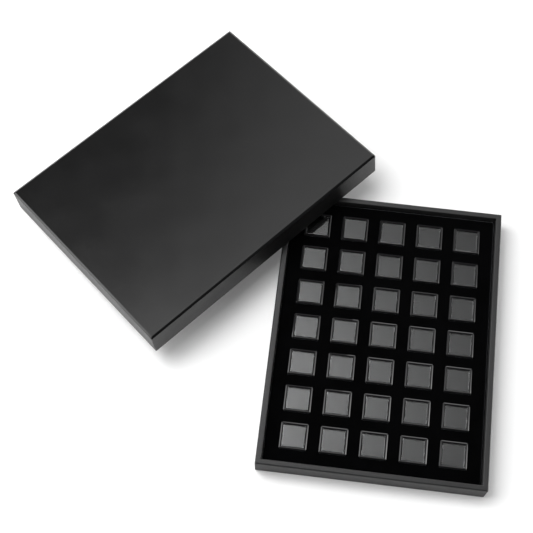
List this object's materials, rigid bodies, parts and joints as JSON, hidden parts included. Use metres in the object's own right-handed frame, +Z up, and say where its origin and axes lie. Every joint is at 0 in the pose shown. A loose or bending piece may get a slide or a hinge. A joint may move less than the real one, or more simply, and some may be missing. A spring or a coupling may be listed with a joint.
{
  "type": "gemstone display box",
  "caption": "Wrapped telescoping box with a velvet tray that holds rows of small windowed stone boxes; the lid lies slanted over one corner.",
  "frame": {"origin": "centre of the tray's underside, on the surface it stands on", "axes": "+Z up out of the tray; X along the tray's short side; +Y towards its rear edge, where the lid lies on the left"},
  "size_m": [0.576, 0.5437, 0.0634],
  "materials": {
    "leatherette": "fine-grained black leatherette, satin",
    "greyboard": "plain grey board",
    "lining_paper": "matt black paper",
    "base_paper": "matt black paper",
    "velvet": "black velvet",
    "foam": "dark flocked foam",
    "pad_foam": "black foam pad",
    "stone_box_plastic": "moulded black plastic",
    "clear_window": "clear window"
  },
  "bodies": {
    "tray": {"tray_bottom_sheet": "base_paper", "tray_base_board": "greyboard", "tray_front_board": "greyboard", "tray_rear_board": "greyboard", "tray_left_board": "greyboard", "tray_right_board": "greyboard", "tray_wrap": "leatherette", "insert_base_pad": "foam", "insert_cross_bars": "foam", "insert_spacers": "foam", "insert_velvet": "velvet"},
    "lid": {"lid_top_board": "greyboard", "lid_front_board": "greyboard", "lid_rear_board": "greyboard", "lid_left_board": "greyboard", "lid_right_board": "greyboard", "lid_wrap": "leatherette", "lid_lining": "lining_paper"},
    "stone_box_r1_c1": {"gem_box_r1_c1": "stone_box_plastic"},
    "stone_box_r1_c2": {"gem_box_r1_c2": "stone_box_plastic"},
    "stone_box_r1_c3": {"gem_box_r1_c3": "stone_box_plastic"},
    "stone_box_r1_c4": {"gem_box_r1_c4": "stone_box_plastic"},
    "stone_box_r1_c5": {"gem_box_r1_c5": "stone_box_plastic"},
    "stone_box_r2_c1": {"gem_box_r2_c1": "stone_box_plastic"},
    "stone_box_r2_c2": {"gem_box_r2_c2": "stone_box_plastic"},
    "stone_box_r2_c3": {"gem_box_r2_c3": "stone_box_plastic"},
    "stone_box_r2_c4": {"gem_box_r2_c4": "stone_box_plastic"},
    "stone_box_r2_c5": {"gem_box_r2_c5": "stone_box_plastic"},
    "stone_box_r3_c1": {"gem_box_r3_c1": "stone_box_plastic"},
    "stone_box_r3_c2": {"gem_box_r3_c2": "stone_box_plastic"},
    "stone_box_r3_c3": {"gem_box_r3_c3": "stone_box_plastic"},
    "stone_box_r3_c4": {"gem_box_r3_c4": "stone_box_plastic"},
    "stone_box_r3_c5": {"gem_box_r3_c5": "stone_box_plastic"},
    "stone_box_r4_c1": {"gem_box_r4_c1": "stone_box_plastic"},
    "stone_box_r4_c2": {"gem_box_r4_c2": "stone_box_plastic"},
    "stone_box_r4_c3": {"gem_box_r4_c3": "stone_box_plastic"},
    "stone_box_r4_c4": {"gem_box_r4_c4": "stone_box_plastic"},
    "stone_box_r4_c5": {"gem_box_r4_c5": "stone_box_plastic"},
    "stone_box_r5_c1": {"gem_box_r5_c1": "stone_box_plastic"},
    "stone_box_r5_c2": {"gem_box_r5_c2": "stone_box_plastic"},
    "stone_box_r5_c3": {"gem_box_r5_c3": "stone_box_plastic"},
    "stone_box_r5_c4": {"gem_box_r5_c4": "stone_box_plastic"},
    "stone_box_r5_c5": {"gem_box_r5_c5": "stone_box_plastic"},
    "stone_box_r6_c1": {"gem_box_r6_c1": "stone_box_plastic"},
    "stone_box_r6_c2": {"gem_box_r6_c2": "stone_box_plastic"},
    "stone_box_r6_c3": {"gem_box_r6_c3": "stone_box_plastic"},
    "stone_box_r6_c4": {"gem_box_r6_c4": "stone_box_plastic"},
    "stone_box_r6_c5": {"gem_box_r6_c5": "stone_box_plastic"},
    "stone_box_r7_c2": {"gem_box_r7_c2": "stone_box_plastic"},
    "stone_box_r7_c3": {"gem_box_r7_c3": "stone_box_plastic"},
    "stone_box_r7_c4": {"gem_box_r7_c4": "stone_box_plastic"},
    "stone_box_r7_c1": {"gem_cup_r7_c1": "stone_box_plastic", "gem_pad_r7_c1": "pad_foam"},
    "cap_r7_c1": {"gem_cap_r7_c1": "stone_box_plastic", "gem_window_r7_c1": "clear_window"},
    "stone_box_r7_c5": {"gem_cup_r7_c5": "stone_box_plastic", "gem_pad_r7_c5": "pad_foam"},
    "cap_r7_c5": {"gem_cap_r7_c5": "stone_box_plastic", "gem_window_r7_c5": "clear_window"}
  },
  "joints": [
    {"name": "lid_lift", "type": "slide", "parent": "tray", "child": "lid", "axis": [0, 0, 1], "range_m": [0, 0.12]},
    {"name": "stone_box_r1_c1_lift", "type": "slide", "parent": "tray", "child": "stone_box_r1_c1", "axis": [0, 0, 1], "range_m": [0, 0.004]},
    {"name": "stone_box_r1_c2_lift", "type": "slide", "parent": "tray", "child": "stone_box_r1_c2", "axis": [0, 0, 1], "range_m": [0, 0.03]},
    {"name": "stone_box_r1_c3_lift", "type": "slide", "parent": "tray", "child": "stone_box_r1_c3", "axis": [0, 0, 1], "range_m": [0, 0.03]},
    {"name": "stone_box_r1_c4_lift", "type": "slide", "parent": "tray", "child": "stone_box_r1_c4", "axis": [0, 0, 1], "range_m": [0, 0.03]},
    {"name": "stone_box_r1_c5_lift", "type": "slide", "parent": "tray", "child": "stone_box_r1_c5", "axis": [0, 0, 1], "range_m": [0, 0.03]},
    {"name": "stone_box_r2_c1_lift", "type": "slide", "parent": "tray", "child": "stone_box_r2_c1", "axis": [0, 0, 1], "range_m": [0, 0.03]},
    {"name": "stone_box_r2_c2_lift", "type": "slide", "parent": "tray", "child": "stone_box_r2_c2", "axis": [0, 0, 1], "range_m": [0, 0.03]},
    {"name": "stone_box_r2_c3_lift", "type": "slide", "parent": "tray", "child": "stone_box_r2_c3", "axis": [0, 0, 1], "range_m": [0, 0.03]},
    {"name": "stone_box_r2_c4_lift", "type": "slide", "parent": "tray", "child": "stone_box_r2_c4", "axis": [0, 0, 1], "range_m": [0, 0.03]},
    {"name": "stone_box_r2_c5_lift", "type": "slide", "parent": "tray", "child": "stone_box_r2_c5", "axis": [0, 0, 1], "range_m": [0, 0.03]},
    {"name": "stone_box_r3_c1_lift", "type": "slide", "parent": "tray", "child": "stone_box_r3_c1", "axis": [0, 0, 1], "range_m": [0, 0.03]},
    {"name": "stone_box_r3_c2_lift", "type": "slide", "parent": "tray", "child": "stone_box_r3_c2", "axis": [0, 0, 1], "range_m": [0, 0.03]},
    {"name": "stone_box_r3_c3_lift", "type": "slide", "parent": "tray", "child": "stone_box_r3_c3", "axis": [0, 0, 1], "range_m": [0, 0.03]},
    {"name": "stone_box_r3_c4_lift", "type": "slide", "parent": "tray", "child": "stone_box_r3_c4", "axis": [0, 0, 1], "range_m": [0, 0.03]},
    {"name": "stone_box_r3_c5_lift", "type": "slide", "parent": "tray", "child": "stone_box_r3_c5", "axis": [0, 0, 1], "range_m": [0, 0.03]},
    {"name": "stone_box_r4_c1_lift", "type": "slide", "parent": "tray", "child": "stone_box_r4_c1", "axis": [0, 0, 1], "range_m": [0, 0.03]},
    {"name": "stone_box_r4_c2_lift", "type": "slide", "parent": "tray", "child": "stone_box_r4_c2", "axis": [0, 0, 1], "range_m": [0, 0.03]},
    {"name": "stone_box_r4_c3_lift", "type": "slide", "parent": "tray", "child": "stone_box_r4_c3", "axis": [0, 0, 1], "range_m": [0, 0.03]},
    {"name": "stone_box_r4_c4_lift", "type": "slide", "parent": "tray", "child": "stone_box_r4_c4", "axis": [0, 0, 1], "range_m": [0, 0.03]},
    {"name": "stone_box_r4_c5_lift", "type": "slide", "parent": "tray", "child": "stone_box_r4_c5", "axis": [0, 0, 1], "range_m": [0, 0.03]},
    {"name": "stone_box_r5_c1_lift", "type": "slide", "parent": "tray", "child": "stone_box_r5_c1", "axis": [0, 0, 1], "range_m": [0, 0.03]},
    {"name": "stone_box_r5_c2_lift", "type": "slide", "parent": "tray", "child": "stone_box_r5_c2", "axis": [0, 0, 1], "range_m": [0, 0.03]},
    {"name": "stone_box_r5_c3_lift", "type": "slide", "parent": "tray", "child": "stone_box_r5_c3", "axis": [0, 0, 1], "range_m": [0, 0.03]},
    {"name": "stone_box_r5_c4_lift", "type": "slide", "parent": "tray", "child": "stone_box_r5_c4", "axis": [0, 0, 1], "range_m": [0, 0.03]},
    {"name": "stone_box_r5_c5_lift", "type": "slide", "parent": "tray", "child": "stone_box_r5_c5", "axis": [0, 0, 1], "range_m": [0, 0.03]},
    {"name": "stone_box_r6_c1_lift", "type": "slide", "parent": "tray", "child": "stone_box_r6_c1", "axis": [0, 0, 1], "range_m": [0, 0.03]},
    {"name": "stone_box_r6_c2_lift", "type": "slide", "parent": "tray", "child": "stone_box_r6_c2", "axis": [0, 0, 1], "range_m": [0, 0.03]},
    {"name": "stone_box_r6_c3_lift", "type": "slide", "parent": "tray", "child": "stone_box_r6_c3", "axis": [0, 0, 1], "range_m": [0, 0.03]},
    {"name": "stone_box_r6_c4_lift", "type": "slide", "parent": "tray", "child": "stone_box_r6_c4", "axis": [0, 0, 1], "range_m": [0, 0.03]},
    {"name": "stone_box_r6_c5_lift", "type": "slide", "parent": "tray", "child": "stone_box_r6_c5", "axis": [0, 0, 1], "range_m": [0, 0.03]},
    {"name": "stone_box_r7_c2_lift", "type": "slide", "parent": "tray", "child": "stone_box_r7_c2", "axis": [0, 0, 1], "range_m": [0, 0.03]},
    {"name": "stone_box_r7_c3_lift", "type": "slide", "parent": "tray", "child": "stone_box_r7_c3", "axis": [0, 0, 1], "range_m": [0, 0.03]},
    {"name": "stone_box_r7_c4_lift", "type": "slide", "parent": "tray", "child": "stone_box_r7_c4", "axis": [0, 0, 1], "range_m": [0, 0.03]},
    {"name": "stone_box_r7_c1_lift", "type": "slide", "parent": "tray", "child": "stone_box_r7_c1", "axis": [0, 0, 1], "range_m": [0, 0.03]},
    {"name": "cap_r7_c1_lift", "type": "slide", "parent": "stone_box_r7_c1", "child": "cap_r7_c1", "axis": [0, 0, 1], "range_m": [0, 0.02]},
    {"name": "stone_box_r7_c5_lift", "type": "slide", "parent": "tray", "child": "stone_box_r7_c5", "axis": [0, 0, 1], "range_m": [0, 0.03]},
    {"name": "cap_r7_c5_lift", "type": "slide", "parent": "stone_box_r7_c5", "child": "cap_r7_c5", "axis": [0, 0, 1], "range_m": [0, 0.02]}
  ]
}
